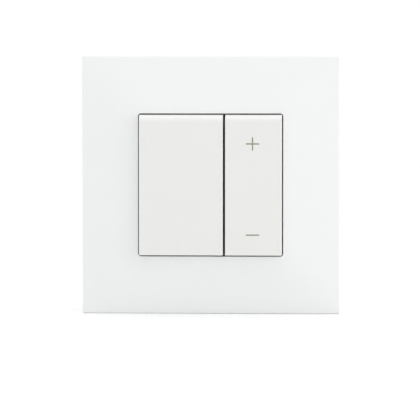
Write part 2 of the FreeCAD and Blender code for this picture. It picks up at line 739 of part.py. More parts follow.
def make_yoke_bends(body):
    """The yoke's bent parts: tabs for the frame's hooks and, behind, ears that carry the claw pins."""
    half = yoke_size / 2
    inside_sheet = -0.5
    tab_depth, tab_width = (-4.2, inside_sheet), 6.0
    window_depth, window_width = (-3.4, -2.2), hook_width + 0.6
    ear_depth = (inside_sheet, claw_pivot_y + 1.6)
    solids, holes = [body], []
    for side, end in CORNERS:
        name = f"{LEFT_RIGHT[side]}_{LOWER_UPPER[end]}"
        tab_x, tab_z = spans(side, half - yoke_sheet, half), hook_place * end
        solids.append(block(f"tab_{name}", tab_x, tab_depth, around(tab_z, tab_width)))
        wider = (tab_x[0] - BEYOND, tab_x[1] + BEYOND)
        window = block(f"tab_{name}_window", wider, window_depth, around(tab_z, window_width))
        holes.append(window)
        ear_x = spans(side, claw_pivot_x - 1.5, claw_pivot_x + 1.7)
        near_face = claw_height + (claw_width / 2 + 0.25) * end
        far_face = near_face + yoke_sheet * end
        z = (near_face, far_face) if end > 0 else (far_face, near_face)
        solids.append(block(f"ear_{name}", ear_x, ear_depth, z))
        pin = (claw_pivot_x * side, claw_pivot_y)
        holes.append(rod(f"ear_{name}_hole", "Z", pin, claw_pin_radius + 0.02, (z[0] - 0.1, z[1] + 0.1)))
    whole = fuse("yoke_whole", *solids)
    sub_part("mounting_yoke", cut("mounting_yoke_bent", whole, *holes))


# ---------------------------------------------------------------- rear housing
HOUSING_DEEP = housing_floor + OVERLAP


def add_bosses(body):
    """The four posts that the body screws bite into."""
    bosses = sketch(body, "housing_bosses", "XZ_Plane", -HOUSING_DEEP)
    for sx, sz in CORNERS:
        circle(bosses, body_screw * sx, body_screw * sz, body_screw_radius + 1.2)
    feature(body, "Pad", bosses, HOUSING_DEEP)


def add_ledges(body, inner_x):
    """Ledges on the side walls that the power board rests on."""
    ledge_front, ledge_reach = power_board_back + part_clearance, 0.8
    for end, z in (("upper", around(4.0, 12.0)), ("lower", around(-7.5, 5.0))):
        for side, name in LEFT_RIGHT.items():
            x = spans(side, inner_x - ledge_reach, inner_x + OVERLAP)
            layer(body, f"ledge_{end}_{name}", x, z, HOUSING_DEEP, ledge_front)


def add_chambers(body, inner_z):
    """Walls and a roof that keep the terminals apart."""
    roof = (-9.4, -8.6)
    wall_thick = 1.0
    for i in range(4):
        wall = around(terminal_pitch * (i - 1.5), wall_thick)
        height = (-inner_z - OVERLAP, roof[1])
        layer(body, f"chamber_wall_{i}", wall, height, HOUSING_DEEP, power_board_back + 0.6)
    layer(body, "chamber_roof", both(terminal_pitch * 1.5), roof, HOUSING_DEEP, tab_front + 2.4)


def cut_pilots(body):
    pilots = sketch(body, "screw_pilots", "XZ_Plane", 0)
    for sx, sz in CORNERS:
        circle(pilots, body_screw * sx, body_screw * sz, body_screw_radius)
    pilot_depth = 11.0
    feature(body, "Pocket", pilots, pilot_depth)


def cut_terminal_openings(body):
    """Holes for the terminal screws' heads in the back and for the wires from below."""
    access = sketch(body, "terminal_access", "XZ_Plane", -housing_floor)
    for x in terminal_places:
        circle(access, x, terminal_height, terminal_head_radius + 0.2)
    feature(body, "Pocket", access, housing_wall + 0.1)
    entries = sketch(body, "wire_entries", "XY_Plane", -housing_half_z)
    for x in terminal_places:
        circle(entries, x, wire_depth, wire_radius)
    feature(body, "Pocket", entries, housing_wall, backwards=True)


def cut_back_details(body):
    """The vents and the shallow field for the rating label."""
    outside = housing_depth + 0.1
    first_vent, vent_pitch, vent_height = 14.0, 3.2, 1.2
    for i in range(5):
        z = around(first_vent - vent_pitch * i, vent_height)
        recess(body, f"vent_{i}", both(9.0), z, housing_floor, outside)
    recess(body, "label_field", both(14.0), (-9.5, -2.5), housing_depth - 0.3, outside)


def make_rear_housing():
    """The box behind the wall plane."""
    body = doc.addObject("PartDesign::Body", "rear_housing")
    outside = sketch(body, "housing_outside", "XZ_Plane", -housing_depth)
    octagon(outside, housing_half_x, housing_half_z, housing_half_x + housing_half_z - housing_cut)
    feature(body, "Pad", outside, housing_depth)
    round_edges(body, "housing_back_edges", lambda e: near(e.BoundBox.YMin, housing_depth), 1.0)
    inner_x, inner_z = housing_half_x - housing_wall, housing_half_z - housing_wall
    inside = sketch(body, "housing_inside", "XZ_Plane", 0)
    octagon(inside, inner_x, inner_z, inner_x + inner_z - housing_cut + 0.4)
    feature(body, "Pocket", inside, housing_floor)
    add_bosses(body)
    add_ledges(body, inner_x)
    add_chambers(body, inner_z)
    cut_pilots(body)
    cut_terminal_openings(body)
    cut_back_details(body)
    sub_part("rear_housing", body)


def make_housing_screws():
    """Four pan-head screws that close the mechanism and clamp the yoke."""
    screws = []
    head_span = (screw_sink - 1.3, screw_sink)
    shank_span = (screw_sink - OVERLAP, 9.0)
    shank_radius = body_screw_radius - 0.05
    depth = (screw_sink - 1.4, screw_sink - 0.6)
    cross_length, cross_width = 2.2, 0.5
    for i, (sx, sz) in enumerate(CORNERS):
        x, z = body_screw * sx, body_screw * sz
        head = rod(f"body_screw_head_{i}", "Y", (x, z), body_screw_head, head_span)
        shank = rod(f"body_screw_shank_{i}", "Y", (x, z), shank_radius, shank_span)
        long_x, short_x = around(x, cross_length), around(x, cross_width)
        long_z, short_z = around(z, cross_length), around(z, cross_width)
        bars = [block(f"body_screw_bar_{i}_x", long_x, depth, short_z),
                block(f"body_screw_bar_{i}_z", short_x, depth, long_z)]
        screws.append(cut(f"body_screw_{i}", fuse(f"body_screw_solid_{i}", head, shank), *bars))
    sub_part("housing_screws", group("housing_screws", *screws))


# ---------------------------------------------------------------- circuit boards and what they carry
def make_board(label, front, thickness, holes):
    body = doc.addObject("PartDesign::Body", label)
    blank = sketch(body, f"{label}_blank", "XZ_Plane", -(front + thickness))
    octagon(blank, board_half_x, board_half_z, board_diagonal)
    feature(body, "Pad", blank, thickness)
    drilled = sketch(body, f"{label}_holes", "XZ_Plane", -front)
    for x, z, radius in holes:
        circle(drilled, x, z, radius)
    feature(body, "Pocket", drilled, thickness)
    sub_part(label, body)


def make_boards():
    """Two boards with tubes, a pin header and two chips between them."""
    spacer_holes = [(spacer_x * sx, spacer_z * sz, spacer_bore) for sx, sz in CORNERS]
    make_board("control_board", control_board_front, control_board_thick, spacer_holes)
    lead_places = ((-1.0, 15.0), (10.3, 15.0), (-14.0, -3.4), (-11.2, -3.4))
    lead_radius = 0.6
    lead_holes = [(x, z, lead_radius) for x, z in lead_places]
    make_board("power_board", power_board_front, power_board_thick, spacer_holes + lead_holes)
    play = 0.02
    back = control_board_front + control_board_thick + play
    between = (back, power_board_front - play)
    longer = (between[0] - BEYOND, between[1] + BEYOND)
    tubes = []
    for i, (x, z, bore) in enumerate(spacer_holes):
        tube = rod(f"spacer_tube_{i}", "Y", (x, z), spacer_radius, between)
        tubes.append(cut(f"spacer_{i}", tube, rod(f"spacer_hole_{i}", "Y", (x, z), bore, longer)))
    sub_part("board_spacers", group("board_spacers", *tubes))
    sub_part("board_header", block("header_strip", (-16.6, -14.0), between, both(5.2)))
    chips = [
        block("controller_chip", (-8.0, -1.0), (back, back + 1.4), (-3.5, 3.5)),
        block("driver_chip", (4.0, 9.0), (back, back + 1.3), (-2.0, 2.0)),
    ]
    sub_part("control_chips", group("control_chips", *chips))


def wire_loop(inner, outer, low, high, wire):
    """One turn of wire round the choke's ring section, in the plane that holds the choke's axis."""
    radius = 0.6 * wire
    corners = [Vector(x, y, 0) for x, y in ((inner, low), (outer, low), (outer, high), (inner, high))]
    edges = []
    for i, corner in enumerate(corners):
        before = (corners[i - 1] - corner).normalize()
        after = (corners[(i + 1) % 4] - corner).normalize()
        start, end = corner + before * radius, corner + after * radius
        centre = corner + (before + after) * radius
        middle = centre + (corner - centre).normalize() * radius
        following = corners[(i + 1) % 4]
        edges.append(Part.Arc(start, middle, end).toShape())
        edges.append(Part.LineSegment(end, following - after * radius).toShape())
    edges = [*edges[1:], edges[0]]
    path = Part.Wire(edges)
    start = edges[0].valueAt(edges[0].FirstParameter)
    ring = Part.Wire(Part.makeCircle(wire / 2, start, edges[0].tangentAt(edges[0].FirstParameter)))
    return path.makePipeShell([ring], True, False)


def make_choke():
    """A toroidal suppression choke: a ring core, and a winding of separate turns round it."""
    x, z, base = -9.0, 8.4, power_board_back.value + 0.95
    inner, outer, height, wire = 3.2, 6.5, 6.0, 0.75
    centre = (x, z)
    top = base + height
    core = rod("choke_ring", "Y", centre, outer, (base, top))
    hole = rod("choke_hole", "Y", centre, inner, (base - BEYOND, top + BEYOND))
    sub_part("choke_core", cut("choke_core", core, hole))
    away = wire / 2 + 0.05
    turn = wire_loop(inner - away, outer + away, base - away, top + away, wire)
    turns, used, count = [], 300.0, 17
    for i in range(count):
        loop = turn.copy()
        loop.rotate(Vector(), Vector(0, 1, 0), used * i / (count - 1))
        turns.append(loop)
    winding = doc.addObject("Part::Feature", "choke_winding")
    winding.Shape = Part.makeCompound(turns)
    winding.Placement = Placement(Vector(x, 0, z), Rotation())
    sub_part("choke_winding", winding)


def make_capacitors(base):
    """A film capacitor in a box, and an electrolytic one whose sleeve has a groove near its base."""
    sub_part("film_capacitor", block("film_case", (-1.5, 10.8), (base, base + 9.4), (12.4, 17.8)))
    centre, radius = (-12.6, -3.4), 3.2
    can = rod("can_sleeve", "Y", centre, radius, (base, base + 10.0))
    groove_outer = rod("can_groove_outer", "Y", centre, radius + 0.2, (base + 1.2, base + 1.8))
    groove_inner = rod("can_groove_inner", "Y", centre, radius - 0.25, (base + 1.0, base + 2.0))
    groove = cut("can_groove", groove_outer, groove_inner)
    sub_part("electrolytic_capacitor", cut("electrolytic_capacitor", can, groove))


def make_fuse(base):
    """A glass tube with a metal cap on each end, each cap on a foot."""
    centre = (base + 2.6, 8.6)
    tube = rod("fuse_glass", "X", centre, 1.7, (1.6, 9.0))
    bore = rod("fuse_bore", "X", centre, 1.3, (0.6, 10.0))
    sub_part("fuse_tube", cut("fuse_tube", tube, bore))
    foot_depth, foot_z = (base, centre[0] - 1.0), around(centre[1], 1.6)
    caps = []
    ends = (((0.4, 3.2), (1.55, 3.3), (0.4, 1.2)), ((7.4, 10.2), (7.3, 9.05), (9.4, 10.2)))
    for i, (shell_x, seat_x, foot_x) in enumerate(ends):
        shell = rod(f"fuse_cap_shell_{i}", "X", centre, 2.0, shell_x)
        pocket = rod(f"fuse_cap_seat_{i}", "X", centre, 1.75, seat_x)
        foot = block(f"fuse_cap_foot_{i}", foot_x, foot_depth, foot_z)
        caps.append(cut(f"fuse_cap_{i}", fuse(f"fuse_cap_solid_{i}", shell, foot), pocket))
    sub_part("fuse_caps", group("fuse_caps", *caps))


def make_transistors(base):
    """Two power transistors on legs, and the aluminium plate that cools them."""
    case_x, case_depth, case_height = (11.4, 15.7), (base + 1.8, base + 10.8), 10.0
    leg_x, leg_radius, leg_span = 13.0, 0.35, (base + 0.02, base + 1.78)
    cases = []
    for i, z in enumerate((-7.6, 3.0)):
        cases.append(block(f"transistor_case_{i}", case_x, case_depth, (z, z + case_height)))
        for k, along in enumerate((2.5, 5.0, 7.5)):
            name = f"transistor_leg_{i}_{k}"
            cases.append(rod(name, "Y", (leg_x, z + along), leg_radius, leg_span))
    sub_part("transistors", group("transistors", *cases))
    plate_x, plate_z, top = (15.72, 16.5), (-7.8, 13.4), base + 13.0
    foot = block("heat_foot", plate_x, (base, top), (-4.9, -2.1))
    plate = block("heat_plate", plate_x, (base + 0.3, top), plate_z)
    flange = block("heat_flange", (12.4, plate_x[1]), (top - 1.6, top), plate_z)
    sub_part("heat_sink", fuse("heat_sink", foot, plate, flange))


def make_power_parts():
    """What stands on the power board besides the choke."""
    base = power_board_back + part_clearance
    make_capacitors(base)
    sub_part("varistor", rod("varistor_disc", "Z", (-3.6, base + 4.2), 3.5, (-6.4, -3.9)))
    sub_part("optocoupler", block("opto_case", (2.6, 9.2), (base, base + 3.4), (-6.4, -1.8)))
    make_fuse(base)
    make_transistors(base)


# ---------------------------------------------------------------- terminals
def make_terminal(number, x):
    """A rising clamp: an L-shaped contact, the cage that climbs, and the captive screw that drives it."""
    label = f"terminal_{number}"
    z = terminal_height
    contact_x, contact_top = around(x, 4.4), z + 5.8
    leg_front = power_board_back + part_clearance
    plate = block(f"{label}_plate", contact_x, (tab_front, tab_back), (z - 2.4, contact_top))
    leg = block(f"{label}_leg", contact_x, (leg_front, tab_back), (contact_top - tab_thick, contact_top))
    sub_part(f"{label}_contact", fuse(f"{label}_contact", plate, leg))
    sub_part(f"{label}_cage", terminal_cage(label, x, z))
    sub_part(f"{label}_screw", terminal_screw(label, x, z))


def terminal_cage(label, x, z):
    """A square tube whose back wall is threaded."""
    cage_back = cage_front + cage_depth
    cage_inside = (cage_front + cage_wall, cage_back - cage_thread)
    height = around(z, 5.6)
    longer = (height[0] - BEYOND, height[1] + BEYOND)
    outer = block(f"{label}_cage_block", around(x, 6.4), (cage_front, cage_back), height)
    inner = block(f"{label}_cage_inner", around(x, 4.6), cage_inside, longer)
    thread_span = (cage_inside[1] - 0.5, cage_back + 0.5)
    thread_radius = terminal_screw_radius + 0.05
    thread = rod(f"{label}_cage_thread", "Y", (x, z), thread_radius, thread_span)
    return cut(f"{label}_cage", outer, inner, thread)


def terminal_screw(label, x, z):
    """A screw whose head, with a slot and a short cross, shows through the housing's back."""
    head_front = housing_floor - 0.8
    head_back = head_front + 2.0
    head = rod(f"{label}_head", "Y", (x, z), terminal_head_radius, (head_front, head_back))
    shank_span = (tab_back + touch_gap, head_front + OVERLAP)
    shank = rod(f"{label}_shank", "Y", (x, z), terminal_screw_radius, shank_span)
    slot_depth, slot_width = (head_back - 0.9, head_back + 0.1), 0.8
    slot = block(f"{label}_slot", around(x, 5.4), slot_depth, around(z, slot_width))
    cross = block(f"{label}_cross", around(x, slot_width), slot_depth, around(z, 3.2))
    return cut(f"{label}_screw", fuse(f"{label}_screw_solid", head, shank), slot, cross)


# ---------------------------------------------------------------- claws
def claw_solid(name, side):
    """A bell crank: a lug that the nut pulls forward, an arm along the housing and a toothed end."""
    x0, y0, z0 = claw_pivot_x, claw_pivot_y, claw_height
    half, end_y, screw_x = claw_sheet / 2, y0 + claw_length, x0 + claw_lever
    broad = around(z0, claw_width)
    pivot = (x0 * side, y0)
    lug_length, lip_length, lug_z = 6.4, 2.4, around(z0, 7.0)
    solids = [
        block(f"{name}_arm", spans(side, x0 - half, x0 + half), (y0, end_y), broad),
        rod(f"{name}_knuckle", "Z", pivot, claw_pin_radius + 0.6, broad),
        block(f"{name}_lug", spans(side, x0, x0 + lug_length), (y0 - half, y0 + half), lug_z),
        block(f"{name}_lip", spans(side, x0, x0 + lip_length), (end_y - claw_sheet, end_y), broad),
    ]
    bead_centre, bead_place, bead_length = (screw_x * side, y0 + half), 2.65, 1.5
    for sign, end in LOW_HIGH.items():
        span = around(z0 + bead_place * sign, bead_length)
        solids.append(rod(f"{name}_bead_{end}", "Z", bead_centre, bead_radius, span))
    fork_x, fork_z = spans(side, screw_x - 1.5, screw_x + 3), around(z0, (claw_screw_radius + 0.2) * 2)
    hole_span = (broad[0] - BEYOND, broad[1] + BEYOND)
    tools = [
        block(f"{name}_screw_fork", fork_x, (y0 - 2, y0 + 2), fork_z),
        rod(f"{name}_pin_hole", "Z", pivot, claw_pin_radius + 0.04, hole_span),
    ]
    notch_x, notch_depth = spans(side, x0 + 1.2, x0 + 3.0), (end_y - 2, end_y + BEYOND)
    notch_pitch, notch_width = 2.4, 1.0
    for i in range(3):
        notch = around(z0 + notch_pitch * (i - 1), notch_width)
        tools.append(block(f"{name}_notch_{i}", notch_x, notch_depth, notch))
    return cut(name, fuse(f"{name}_solid", *solids), *tools)


def claw_screw(name, x, z0):
    """A cross-slotted screw that is captive in the yoke."""
    head_front, head_back = -yoke_sheet - 1.6, -yoke_sheet - 0.02
    shank_span = (-yoke_sheet - 0.3, claw_pivot_y + 3.35)
    head = rod(f"{name}_head", "Y", (x, z0), 2.3, (head_front, head_back))
    shank = rod(f"{name}_shank", "Y", (x, z0), claw_screw_radius, shank_span)
    depth, slot_width = (head_front - 0.1, head_front + 0.8), 0.7
    slot = block(f"{name}_slot", around(x, 5.0), depth, around(z0, slot_width))
    cross = block(f"{name}_cross", around(x, slot_width), depth, around(z0, 2.8))
    return cut(name, fuse(f"{name}_solid", head, shank), slot, cross)


def claw_nut(name, x, z0):
    """A square nut that runs along the claw's screw and pulls the lug forward."""
    front = claw_pivot_y + claw_sheet / 2 + bead_radius + 0.1
    nut = block(f"{name}_block", around(x, 3.6), (front, front + claw_nut_thick), around(z0, 6.6))
    thread_radius, thread_span = claw_screw_radius + 0.05, (front - BEYOND, front + 3.4)
    return cut(name, nut, rod(f"{name}_thread", "Y", (x, z0), thread_radius, thread_span))


def make_claw(side):
    """A claw with its hinge pin, its screw and its nut."""
    name = f"{LEFT_RIGHT[side]}_claw"
    x, z0 = (claw_pivot_x + claw_lever) * side, claw_height
    sub_part(name, claw_solid(name, side))
    pivot, pin_span = (claw_pivot_x * side, claw_pivot_y), around(z0, claw_width + 3.0)
    sub_part(f"{name}_pin", rod(f"{name}_pin", "Z", pivot, claw_pin_radius, pin_span))
    sub_part(f"{name}_screw", claw_screw(f"{name}_screw", x, z0))
    sub_part(f"{name}_nut", claw_nut(f"{name}_nut", x, z0))


# ---------------------------------------------------------------- the whole dimmer
def check_document():
    """Stops if any object failed to compute, or any sub-part is not made of valid closed solids."""
    failed = [o.Name for o in doc.Objects if "Invalid" in o.State or "Error" in o.State]
    if failed:
        raise SystemExit(f"these objects failed: {failed}")
    for label, solid in parts.items():
        shape = solid.Shape
        if shape.isNull() or not shape.isValid() or not shape.Solids:
            raise SystemExit(f"{label} has no valid solid")
        if any(s.Volume <= 0 for s in shape.Solids):
            raise SystemExit(f"{label} holds a solid with no volume")


def build():
    make_surround_frame()
    make_keys()
    make_rockers_and_springs()
    make_switches()
    make_front_cover()
    make_yoke_bends(make_yoke())
    make_rear_housing()
    make_housing_screws()
    make_boards()
    make_choke()
    make_power_parts()
    for number, x in enumerate(terminal_places, start=1):
        make_terminal(number, x)
    for side in (-1, 1):
        make_claw(side)
    doc.recompute()
    check_document()
    os.makedirs("parts", exist_ok=True)
    for label, solid in parts.items():
        solid.Shape.exportStep(f"parts/{label}.step")
        box = solid.Shape.BoundBox
        print(f"{label:24s} solids {len(solid.Shape.Solids):2d}  volume {solid.Shape.Volume:9.1f}  "
              f"x {box.XMin:7.2f} {box.XMax:7.2f}  y {box.YMin:7.2f} {box.YMax:7.2f}  "
              f"z {box.ZMin:7.2f} {box.ZMax:7.2f}")


build()
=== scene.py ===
import json
import math

import bmesh
import bpy
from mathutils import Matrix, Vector


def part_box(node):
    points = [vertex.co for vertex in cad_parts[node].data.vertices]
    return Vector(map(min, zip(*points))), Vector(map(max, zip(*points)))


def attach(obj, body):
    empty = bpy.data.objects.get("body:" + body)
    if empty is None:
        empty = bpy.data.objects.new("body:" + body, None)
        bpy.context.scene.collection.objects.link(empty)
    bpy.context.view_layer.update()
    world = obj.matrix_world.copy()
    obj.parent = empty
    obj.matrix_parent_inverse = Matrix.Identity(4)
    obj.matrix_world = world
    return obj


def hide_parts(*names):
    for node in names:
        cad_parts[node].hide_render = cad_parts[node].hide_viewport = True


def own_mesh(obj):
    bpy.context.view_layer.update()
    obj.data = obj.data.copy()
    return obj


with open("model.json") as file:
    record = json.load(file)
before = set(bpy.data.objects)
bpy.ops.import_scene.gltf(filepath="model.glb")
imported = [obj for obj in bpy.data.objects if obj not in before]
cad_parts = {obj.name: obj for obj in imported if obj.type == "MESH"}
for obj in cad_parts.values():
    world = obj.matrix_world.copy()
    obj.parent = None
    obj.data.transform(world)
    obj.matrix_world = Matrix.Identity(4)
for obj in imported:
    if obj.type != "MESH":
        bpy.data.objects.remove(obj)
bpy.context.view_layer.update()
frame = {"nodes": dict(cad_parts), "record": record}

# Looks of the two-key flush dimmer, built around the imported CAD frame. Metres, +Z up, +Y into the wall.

MM = 0.001


# ---------------------------------------------------------------- places taken from the frame
FRAME_LOW, FRAME_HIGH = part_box("surround_frame")
HALF = FRAME_HIGH.x
RIM = 6.5 * MM
CROWN = -FRAME_LOW.y
PILLOW_POWER = 8
WIDE_LOW, WIDE_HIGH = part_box("wide_key")
NARROW_LOW, NARROW_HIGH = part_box("narrow_key")
KEY_FACE = WIDE_LOW.y
SIDE_GAP = 0.38 * MM
END_GAP = 0.43 * MM
OPEN_X = -WIDE_LOW.x + SIDE_GAP
OPEN_Z = WIDE_HIGH.z + END_GAP


# ---------------------------------------------------------------- node materials
def material(name):
    """A new node material: returns it with its tree and its Principled shader."""
    made = bpy.data.materials.new(name)
    made.use_nodes = True
    tree = made.node_tree
    return made, tree, tree.nodes["Principled BSDF"]


def noise(tree, scale, detail=3.0, roughness=0.55, stretch=None):
    """A noise texture in object space, whose scale is in lumps per millimetre."""
    place = tree.nodes.new("ShaderNodeTexCoord")
    texture = tree.nodes.new("ShaderNodeTexNoise")
    texture.inputs["Scale"].default_value = scale / MM
    texture.inputs["Detail"].default_value = detail
    texture.inputs["Roughness"].default_value = roughness
    source = place.outputs["Object"]
    if stretch:
        mapping = tree.nodes.new("ShaderNodeMapping")
        mapping.inputs["Scale"].default_value = stretch
        tree.links.new(source, mapping.inputs["Vector"])
        source = mapping.outputs["Vector"]
    tree.links.new(source, texture.inputs["Vector"])
    return texture.outputs["Fac"]


def ramp(tree, value, stops):
    """Maps a value to colours at the given stops."""
    node = tree.nodes.new("ShaderNodeValToRGB")
    elements = node.color_ramp.elements
    while len(elements) < len(stops):
        elements.new(0.5)
    for element, (where, colour) in zip(elements, stops):
        element.position = where
        element.color = (*colour, 1.0)
    tree.links.new(value, node.inputs["Fac"])
    return node.outputs["Color"]


def spread(tree, value, low, high):
    """Maps 0.3 to 0.7 of a noise to low to high."""
    node = tree.nodes.new("ShaderNodeMapRange")
    node.inputs["From Min"].default_value = 0.3
    node.inputs["From Max"].default_value = 0.7
    node.inputs["To Min"].default_value = low
    node.inputs["To Max"].default_value = high
    tree.links.new(value, node.inputs["Value"])
    return node.outputs["Result"]


def bump(tree, shader, value, height):
    """Adds a full-strength bump whose height is in millimetres."""
    node = tree.nodes.new("ShaderNodeBump")
    node.inputs["Distance"].default_value = height * MM
    node.inputs["Strength"].default_value = 1.0
    tree.links.new(value, node.inputs["Height"])
    tree.links.new(node.outputs["Normal"], shader.inputs["Normal"])


def edge_mask(tree, radius):
    """1 along sharp edges and 0 on flats, from how far a rounded normal leaves the true one."""
    rounded = tree.nodes.new("ShaderNodeBevel")
    rounded.samples = 4
    rounded.inputs["Radius"].default_value = radius * MM
    surface = tree.nodes.new("ShaderNodeNewGeometry")
    agreement = tree.nodes.new("ShaderNodeVectorMath")
    agreement.operation = "DOT_PRODUCT"
    tree.links.new(rounded.outputs["Normal"], agreement.inputs[0])
    tree.links.new(surface.outputs["True Normal"], agreement.inputs[1])
    mask = tree.nodes.new("ShaderNodeMapRange")
    flat, edge = 0.985, 0.88
    mask.inputs["From Min"].default_value = flat
    mask.inputs["From Max"].default_value = edge
    tree.links.new(agreement.outputs["Value"], mask.inputs["Value"])
    return mask.outputs["Result"]


def worn(tree, colour, worn_colour, radius, amount):
    """The colour, rubbed patchily to the worn colour along the edges."""
    patchy = tree.nodes.new("ShaderNodeMath")
    patchy.operation = "MULTIPLY"
    tree.links.new(edge_mask(tree, radius), patchy.inputs[0])
    tree.links.new(spread(tree, noise(tree, 1.2, detail=4.0), 0.2 * amount, amount), patchy.inputs[1])
    mix = tree.nodes.new("ShaderNodeMix")
    mix.data_type = "RGBA"
    factor, first, second, result = 0, 6, 7, 2  # the colour sockets of a Mix node
    mix.inputs[second].default_value = (*worn_colour, 1.0)
    tree.links.new(patchy.outputs["Value"], mix.inputs[factor])
    tree.links.new(colour, mix.inputs[first])
    return mix.outputs[result]


def shade(colour, factor):
    """The colour made lighter or darker."""
    return tuple(min(1.0, channel * factor) for channel in colour)


def plastic(name, colour, rough, grain=6.0, grain_height=0.004, tint=0.015, bleed=0.0, rub=0.0):
    """Moulded plastic: faint mottling of the colour, uneven gloss and a fine spark-eroded grain.
    Bleed is its subsurface share, and rub how far its edges are worn pale."""
    made, tree, shader = material(name)
    mottle = noise(tree, 0.12, detail=4.0)
    stops = [(0.25, shade(colour, 1 - tint)), (0.5, colour), (0.75, shade(colour, 1 + tint))]
    body = ramp(tree, mottle, stops)
    if rub:
        edge_radius = 0.25
        body = worn(tree, body, tuple(0.7 * channel + 0.06 for channel in colour), edge_radius, rub)
    tree.links.new(body, shader.inputs["Base Color"])
    tree.links.new(spread(tree, noise(tree, 0.5), rough - 0.03, rough + 0.03), shader.inputs["Roughness"])
    bump(tree, shader, noise(tree, grain, detail=2.0), grain_height)
    shader.inputs["IOR"].default_value = 1.49
    shader.inputs["Subsurface Weight"].default_value = bleed
    shader.inputs["Subsurface Radius"].default_value = (1.0, 0.95, 0.9)
    shader.inputs["Subsurface Scale"].default_value = 0.6 * MM
    return made


def metal(name, colour, rough, stretch=(1.0, 1.0, 1.0), grain=1.5, height=0.003, blotch=0.12):
    """Plated or rolled metal: a brushed or blotchy sheen with darker patches."""
    made, tree, shader = material(name)
    cloud = noise(tree, 0.25, detail=5.0)
    stops = [(0.3, shade(colour, 1 - blotch)), (0.55, colour), (0.8, shade(colour, 1 + blotch / 2))]
    bright, edge_radius, rub = 1.35, 0.2, 0.8
    body = worn(tree, ramp(tree, cloud, stops), shade(colour, bright), edge_radius, rub)
    tree.links.new(body, shader.inputs["Base Color"])
    fine = noise(tree, grain, detail=4.0, stretch=stretch)
    tree.links.new(spread(tree, fine, rough - 0.08, rough + 0.1), shader.inputs["Roughness"])
    bump(tree, shader, fine, height)
    shader.inputs["Metallic"].default_value = 1.0
    return made


def circuit_board(name):
    """Green solder mask over faint copper tracks, with a woven glass base."""
    made, tree, shader = material(name)
    place = tree.nodes.new("ShaderNodeTexCoord")
    tracks = tree.nodes.new("ShaderNodeTexBrick")
    tracks_per_mm, weave_per_mm, track_width, weave_height = 0.35, 2.0, 0.06, 0.004
    tracks.inputs["Scale"].default_value = tracks_per_mm / MM
    tracks.inputs["Mortar Size"].default_value = track_width
    turn = tree.nodes.new("ShaderNodeMapping")
    turn.inputs["Rotation"].default_value = (math.radians(90), 0, 0)
    tree.links.new(place.outputs["Object"], turn.inputs["Vector"])
    tree.links.new(turn.outputs["Vector"], tracks.inputs["Vector"])
    stops = [(0.0, (0.018, 0.11, 0.045)), (0.6, (0.02, 0.13, 0.055)), (1.0, (0.045, 0.24, 0.10))]
    tree.links.new(ramp(tree, tracks.outputs["Fac"], stops), shader.inputs["Base Color"])
    shader.inputs["Roughness"].default_value = 0.35
    weave = tree.nodes.new("ShaderNodeTexMagic")
    weave.inputs["Scale"].default_value = weave_per_mm / MM
    tree.links.new(place.outputs["Object"], weave.inputs["Vector"])
    bump(tree, shader, weave.outputs["Fac"], weave_height)
    return made


def clear_glass(name):
    """Drawn glass of the fuse, with faint streaks."""
    made, tree, shader = material(name)
    streaks = noise(tree, 0.4, detail=2.0, stretch=(0.1, 1.0, 1.0))
    tree.links.new(spread(tree, streaks, 0.02, 0.08), shader.inputs["Roughness"])
    stops = [(0.3, (0.90, 0.95, 0.94)), (0.7, (0.97, 0.98, 0.98))]
    tree.links.new(ramp(tree, streaks, stops), shader.inputs["Base Color"])
    shader.inputs["Transmission Weight"].default_value = 1.0
    shader.inputs["IOR"].default_value = 1.5
    return made


def make_materials():
    """One material for each slot of the record."""
    along_z, along_x = (1.0, 1.0, 0.05), (0.05, 1.0, 1.0)
    return {
        "frame_white": plastic("frame_white", (0.852, 0.864, 0.863), 0.36, tint=0.006, bleed=0.12),
        "key_white": plastic("key_white", (0.800, 0.803, 0.786), 0.40, grain=8.0, tint=0.006, bleed=0.12),
        "legend_grey": plastic("legend_grey", (0.30, 0.285, 0.22), 0.55, grain=10.0, tint=0.05),
        "rocker_grey": plastic("rocker_grey", (0.46, 0.47, 0.46), 0.5, grain=4.0),
        "cover_black": plastic("cover_black", (0.022, 0.022, 0.024), 0.5, grain=3.0, grain_height=0.01,
                               rub=0.8),
        "housing_grey": plastic("housing_grey", (0.055, 0.056, 0.060), 0.48, grain=2.5, grain_height=0.015,
                                tint=0.05, rub=0.8),
        "nylon_white": plastic("nylon_white", (0.68, 0.66, 0.60), 0.55, grain=2.0, bleed=0.2),
        "switch_body": plastic("switch_body", (0.03, 0.03, 0.032), 0.5),
        "plunger_red": plastic("plunger_red", (0.42, 0.035, 0.025), 0.42, tint=0.04),
        "spring_steel": metal("spring_steel", (0.52, 0.53, 0.54), 0.28),
        "zinc_steel": metal("zinc_steel", (0.60, 0.61, 0.63), 0.34, stretch=along_z, blotch=0.16),
        "screw_steel": metal("screw_steel", (0.58, 0.56, 0.46), 0.3, blotch=0.2),
        "tinned_brass": metal("tinned_brass", (0.66, 0.62, 0.50), 0.32, stretch=along_x),
        "board_green": circuit_board("board_green"),
        "chip_black": plastic("chip_black", (0.018, 0.018, 0.019), 0.55, grain=5.0, grain_height=0.008),
        "ferrite": plastic("ferrite", (0.52, 0.44, 0.06), 0.5, grain=3.0, tint=0.06),
        "enamelled_copper": metal("enamelled_copper", (0.60, 0.20, 0.07), 0.22, blotch=0.1),
        "film_box": plastic("film_box", (0.60, 0.42, 0.05), 0.4, grain=3.0, tint=0.04),
        "can_sleeve": plastic("can_sleeve", (0.014, 0.018, 0.045), 0.3, grain=2.0, tint=0.05),
        "varistor_blue": plastic("varistor_blue", (0.012, 0.10, 0.36), 0.35, grain=1.5, grain_height=0.02,
                                 tint=0.06),
        "fuse_glass": clear_glass("fuse_glass"),
        "sink_aluminium": metal("sink_aluminium", (0.74, 0.75, 0.76), 0.32, stretch=along_z),
    }


